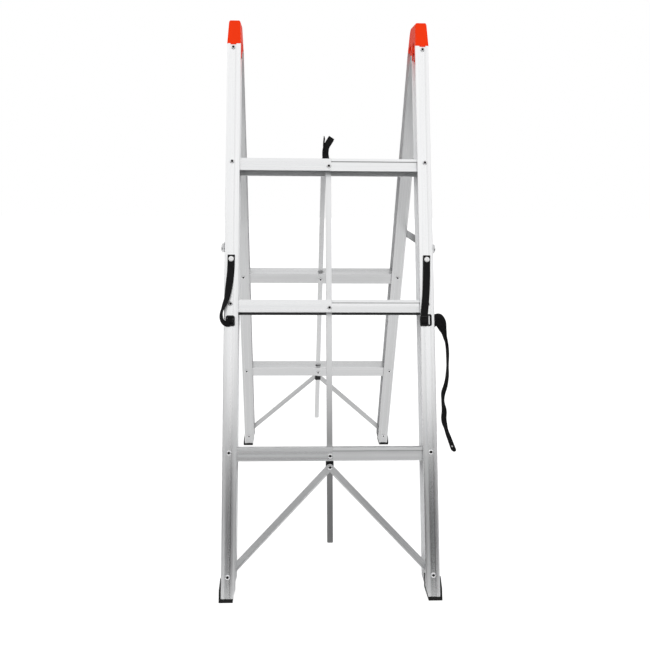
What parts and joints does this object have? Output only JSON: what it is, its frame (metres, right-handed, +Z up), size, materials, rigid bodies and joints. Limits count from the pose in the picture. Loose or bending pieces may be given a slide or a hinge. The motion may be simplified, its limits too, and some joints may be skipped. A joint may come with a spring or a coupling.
{
  "type": "folding double-sided ladder",
  "caption": "Double-sided folding ladder with hinged rails, split nesting rungs, centre bars, sliding braces and folding spreaders; it closes flat and then narrow.",
  "frame": {"origin": "on the floor, midway between the four feet", "axes": "+Z up, +X to the climber's right on the front side, +Y from the front side to the rear side"},
  "size_m": [0.5143, 0.8264, 1.156],
  "materials": {
    "rail": "extruded, satin",
    "rung": "extruded, satin",
    "bar": "extruded, satin",
    "brace": "extruded, satin",
    "spreader": "rolled, satin",
    "rivet": "bright zinc",
    "cap": "moulded, orange-red",
    "foot": "moulded, matt",
    "collar": "moulded, matt",
    "webbing": "woven webbing",
    "buckle": "moulded, matt",
    "stud": "moulded, white"
  },
  "bodies": {
    "front_left_rail": {"front_left_rail": "rail", "front_left_foot": "foot", "front_left_hinge_cap": "cap", "front_left_rail_rivets": "rivet", "left_hinge_pin": "rivet", "left_tie_strap": "webbing", "left_strap_stud": "stud", "left_strap_buckle": "buckle"},
    "front_left_brace": {"front_left_brace": "brace"},
    "front_right_rail": {"front_right_rail": "rail", "front_right_foot": "foot", "front_right_hinge_cap": "cap", "front_right_rail_rivets": "rivet", "right_hinge_pin": "rivet", "right_tie_strap": "webbing", "right_strap_stud": "stud", "right_strap_buckle": "buckle", "loose_strap": "webbing"},
    "front_right_brace": {"front_right_brace": "brace"},
    "front_outer_half_rung_1": {"front_outer_half_rung_1": "rung"},
    "front_inner_half_rung_1": {"front_inner_half_rung_1": "rung"},
    "front_outer_half_rung_2": {"front_outer_half_rung_2": "rung"},
    "front_inner_half_rung_2": {"front_inner_half_rung_2": "rung"},
    "front_outer_half_rung_3": {"front_outer_half_rung_3": "rung"},
    "front_inner_half_rung_3": {"front_inner_half_rung_3": "rung"},
    "front_center_bar": {"front_center_bar": "bar", "front_center_rivets": "rivet", "front_pull_strap": "webbing"},
    "front_slider": {"front_slider_collar": "collar", "front_collar_rivet": "rivet"},
    "rear_right_rail": {"rear_right_rail": "rail", "rear_right_foot": "foot", "rear_right_hinge_cap": "cap", "rear_right_rail_rivets": "rivet"},
    "rear_right_brace": {"rear_right_brace": "brace"},
    "rear_left_rail": {"rear_left_rail": "rail", "rear_left_foot": "foot", "rear_left_hinge_cap": "cap", "rear_left_rail_rivets": "rivet"},
    "rear_left_brace": {"rear_left_brace": "brace"},
    "rear_outer_half_rung_1": {"rear_outer_half_rung_1": "rung"},
    "rear_inner_half_rung_1": {"rear_inner_half_rung_1": "rung"},
    "rear_outer_half_rung_2": {"rear_outer_half_rung_2": "rung"},
    "rear_inner_half_rung_2": {"rear_inner_half_rung_2": "rung"},
    "rear_outer_half_rung_3": {"rear_outer_half_rung_3": "rung"},
    "rear_inner_half_rung_3": {"rear_inner_half_rung_3": "rung"},
    "rear_center_bar": {"rear_center_bar": "bar", "rear_center_rivets": "rivet", "rear_pull_strap": "webbing"},
    "rear_slider": {"rear_slider_collar": "collar", "rear_collar_rivet": "rivet"},
    "left_spreader_front_link": {"left_spreader_front_link": "spreader", "left_spreader_rivet": "rivet"},
    "left_spreader_rear_link": {"left_spreader_rear_link": "spreader"},
    "right_spreader_front_link": {"right_spreader_front_link": "spreader", "right_spreader_rivet": "rivet"},
    "right_spreader_rear_link": {"right_spreader_rear_link": "spreader"}
  },
  "joints": [
    {"name": "width_fold", "type": "hinge", "parent": "front_left_rail", "child": "front_outer_half_rung_2", "pos_m": [-0.206, -0.20505, 0.5596], "axis": [0, -0.95, 0.3123], "range_deg": [0, 87.52]},
    {"name": "front_outer_half_rung_1_pivot", "type": "hinge", "parent": "front_left_rail", "child": "front_outer_half_rung_1", "pos_m": [-0.206, -0.30024, 0.27004], "axis": [0, -0.95, 0.3123], "range_deg": [0, 87.52]},
    {"name": "front_outer_half_rung_3_pivot", "type": "hinge", "parent": "front_left_rail", "child": "front_outer_half_rung_3", "pos_m": [-0.206, -0.10984, 0.84915], "axis": [0, -0.95, 0.3123], "range_deg": [0, 87.52]},
    {"name": "front_center_bar_pivot", "type": "hinge", "parent": "front_outer_half_rung_2", "child": "front_center_bar", "pos_m": [0, -0.20739, 0.55247], "axis": [0, 0.95, -0.3123], "range_deg": [0, 87.52]},
    {"name": "front_inner_half_rung_2_pivot", "type": "hinge", "parent": "front_center_bar", "child": "front_inner_half_rung_2", "pos_m": [0, -0.20739, 0.55247], "axis": [0, 0.95, -0.3123], "range_deg": [0, 87.52]},
    {"name": "front_inner_half_rung_1_pivot", "type": "hinge", "parent": "front_center_bar", "child": "front_inner_half_rung_1", "pos_m": [0, -0.30259, 0.26292], "axis": [0, 0.95, -0.3123], "range_deg": [0, 87.52]},
    {"name": "front_inner_half_rung_3_pivot", "type": "hinge", "parent": "front_center_bar", "child": "front_inner_half_rung_3", "pos_m": [0, -0.11219, 0.84202], "axis": [0, 0.95, -0.3123], "range_deg": [0, 87.52]},
    {"name": "front_right_rail_pivot", "type": "hinge", "parent": "front_inner_half_rung_2", "child": "front_right_rail", "pos_m": [0.206, -0.20505, 0.5596], "axis": [0, -0.95, 0.3123], "range_deg": [0, 87.52]},
    {"name": "front_slider_travel", "type": "slide", "parent": "front_center_bar", "child": "front_slider", "axis": [0, -0.3123, -0.95], "range_m": [0, 0.1297]},
    {"name": "front_left_brace_pivot", "type": "hinge", "parent": "front_slider", "child": "front_left_brace", "pos_m": [0, -0.31008, 0.24012], "axis": [0, -0.95, 0.3123], "range_deg": [0, 41.06]},
    {"name": "front_right_brace_pivot", "type": "hinge", "parent": "front_slider", "child": "front_right_brace", "pos_m": [0, -0.31008, 0.24012], "axis": [0, 0.95, -0.3123], "range_deg": [0, 41.06]},
    {"name": "a_frame_hinge", "type": "hinge", "parent": "front_left_rail", "child": "rear_left_rail", "pos_m": [-0.206, 0, 1.1], "axis": [-1, 0, 0], "range_deg": [0, 36.4]},
    {"name": "rear_inner_half_rung_2_pivot", "type": "hinge", "parent": "rear_left_rail", "child": "rear_inner_half_rung_2", "pos_m": [-0.206, 0.20505, 0.5596], "axis": [0, -0.95, -0.3123], "range_deg": [0, 87.52]},
    {"name": "rear_inner_half_rung_1_pivot", "type": "hinge", "parent": "rear_left_rail", "child": "rear_inner_half_rung_1", "pos_m": [-0.206, 0.30024, 0.27004], "axis": [0, -0.95, -0.3123], "range_deg": [0, 87.52]},
    {"name": "rear_inner_half_rung_3_pivot", "type": "hinge", "parent": "rear_left_rail", "child": "rear_inner_half_rung_3", "pos_m": [-0.206, 0.10984, 0.84915], "axis": [0, -0.95, -0.3123], "range_deg": [0, 87.52]},
    {"name": "rear_center_bar_pivot", "type": "hinge", "parent": "rear_inner_half_rung_2", "child": "rear_center_bar", "pos_m": [0, 0.20739, 0.55247], "axis": [0, 0.95, 0.3123], "range_deg": [0, 87.52]},
    {"name": "rear_outer_half_rung_2_pivot", "type": "hinge", "parent": "rear_center_bar", "child": "rear_outer_half_rung_2", "pos_m": [0, 0.20739, 0.55247], "axis": [0, 0.95, 0.3123], "range_deg": [0, 87.52]},
    {"name": "rear_outer_half_rung_1_pivot", "type": "hinge", "parent": "rear_center_bar", "child": "rear_outer_half_rung_1", "pos_m": [0, 0.30259, 0.26292], "axis": [0, 0.95, 0.3123], "range_deg": [0, 87.52]},
    {"name": "rear_outer_half_rung_3_pivot", "type": "hinge", "parent": "rear_center_bar", "child": "rear_outer_half_rung_3", "pos_m": [0, 0.11219, 0.84202], "axis": [0, 0.95, 0.3123], "range_deg": [0, 87.52]},
    {"name": "rear_right_rail_pivot", "type": "hinge", "parent": "rear_outer_half_rung_2", "child": "rear_right_rail", "pos_m": [0.206, 0.20505, 0.5596], "axis": [0, -0.95, -0.3123], "range_deg": [0, 87.52]},
    {"name": "rear_slider_travel", "type": "slide", "parent": "rear_center_bar", "child": "rear_slider", "axis": [0, 0.3123, -0.95], "range_m": [0, 0.1297]},
    {"name": "rear_right_brace_pivot", "type": "hinge", "parent": "rear_slider", "child": "rear_right_brace", "pos_m": [0, 0.31008, 0.24012], "axis": [0, 0.95, 0.3123], "range_deg": [0, 41.06]},
    {"name": "rear_left_brace_pivot", "type": "hinge", "parent": "rear_slider", "child": "rear_left_brace", "pos_m": [0, 0.31008, 0.24012], "axis": [0, -0.95, -0.3123], "range_deg": [0, 41.06]},
    {"name": "left_front_link_pivot", "type": "hinge", "parent": "front_left_rail", "child": "left_spreader_front_link", "pos_m": [-0.2195, -0.1671, 0.675], "axis": [1, 0, 0], "range_deg": [0, 62.85]},
    {"name": "left_rear_link_pivot", "type": "hinge", "parent": "rear_left_rail", "child": "left_spreader_rear_link", "pos_m": [-0.2195, 0.1671, 0.675], "axis": [-1, 0, 0], "range_deg": [0, 62.85]},
    {"name": "right_front_link_pivot", "type": "hinge", "parent": "front_right_rail", "child": "right_spreader_front_link", "pos_m": [0.2195, -0.1671, 0.675], "axis": [1, 0, 0], "range_deg": [0, 62.85]},
    {"name": "right_rear_link_pivot", "type": "hinge", "parent": "rear_right_rail", "child": "right_spreader_rear_link", "pos_m": [0.2195, 0.1671, 0.675], "axis": [-1, 0, 0], "range_deg": [0, 62.85]}
  ],
  "couplings": [
    {"joint": "front_outer_half_rung_1_pivot", "follows": "width_fold", "ratio": 1},
    {"joint": "front_outer_half_rung_3_pivot", "follows": "width_fold", "ratio": 1},
    {"joint": "front_center_bar_pivot", "follows": "width_fold", "ratio": 1},
    {"joint": "front_inner_half_rung_2_pivot", "follows": "width_fold", "ratio": 1},
    {"joint": "front_inner_half_rung_1_pivot", "follows": "width_fold", "ratio": 1},
    {"joint": "front_inner_half_rung_3_pivot", "follows": "width_fold", "ratio": 1},
    {"joint": "front_right_rail_pivot", "follows": "width_fold", "ratio": 1},
    {"joint": "front_slider_travel", "follows": "width_fold", "m_per_rad": 0.084905},
    {"joint": "front_left_brace_pivot", "follows": "width_fold", "ratio": 0.46915},
    {"joint": "front_right_brace_pivot", "follows": "width_fold", "ratio": 0.46915},
    {"joint": "rear_inner_half_rung_2_pivot", "follows": "width_fold", "ratio": 1},
    {"joint": "rear_inner_half_rung_1_pivot", "follows": "width_fold", "ratio": 1},
    {"joint": "rear_inner_half_rung_3_pivot", "follows": "width_fold", "ratio": 1},
    {"joint": "rear_center_bar_pivot", "follows": "width_fold", "ratio": 1},
    {"joint": "rear_outer_half_rung_2_pivot", "follows": "width_fold", "ratio": 1},
    {"joint": "rear_outer_half_rung_1_pivot", "follows": "width_fold", "ratio": 1},
    {"joint": "rear_outer_half_rung_3_pivot", "follows": "width_fold", "ratio": 1},
    {"joint": "rear_right_rail_pivot", "follows": "width_fold", "ratio": 1},
    {"joint": "rear_slider_travel", "follows": "width_fold", "m_per_rad": 0.084905},
    {"joint": "rear_right_brace_pivot", "follows": "width_fold", "ratio": 0.46915},
    {"joint": "rear_left_brace_pivot", "follows": "width_fold", "ratio": 0.46915},
    {"joint": "left_front_link_pivot", "follows": "a_frame_hinge", "ratio": 1.7266},
    {"joint": "left_rear_link_pivot", "follows": "a_frame_hinge", "ratio": 1.7266},
    {"joint": "right_front_link_pivot", "follows": "a_frame_hinge", "ratio": 1.7266},
    {"joint": "right_rear_link_pivot", "follows": "a_frame_hinge", "ratio": 1.7266}
  ]
}
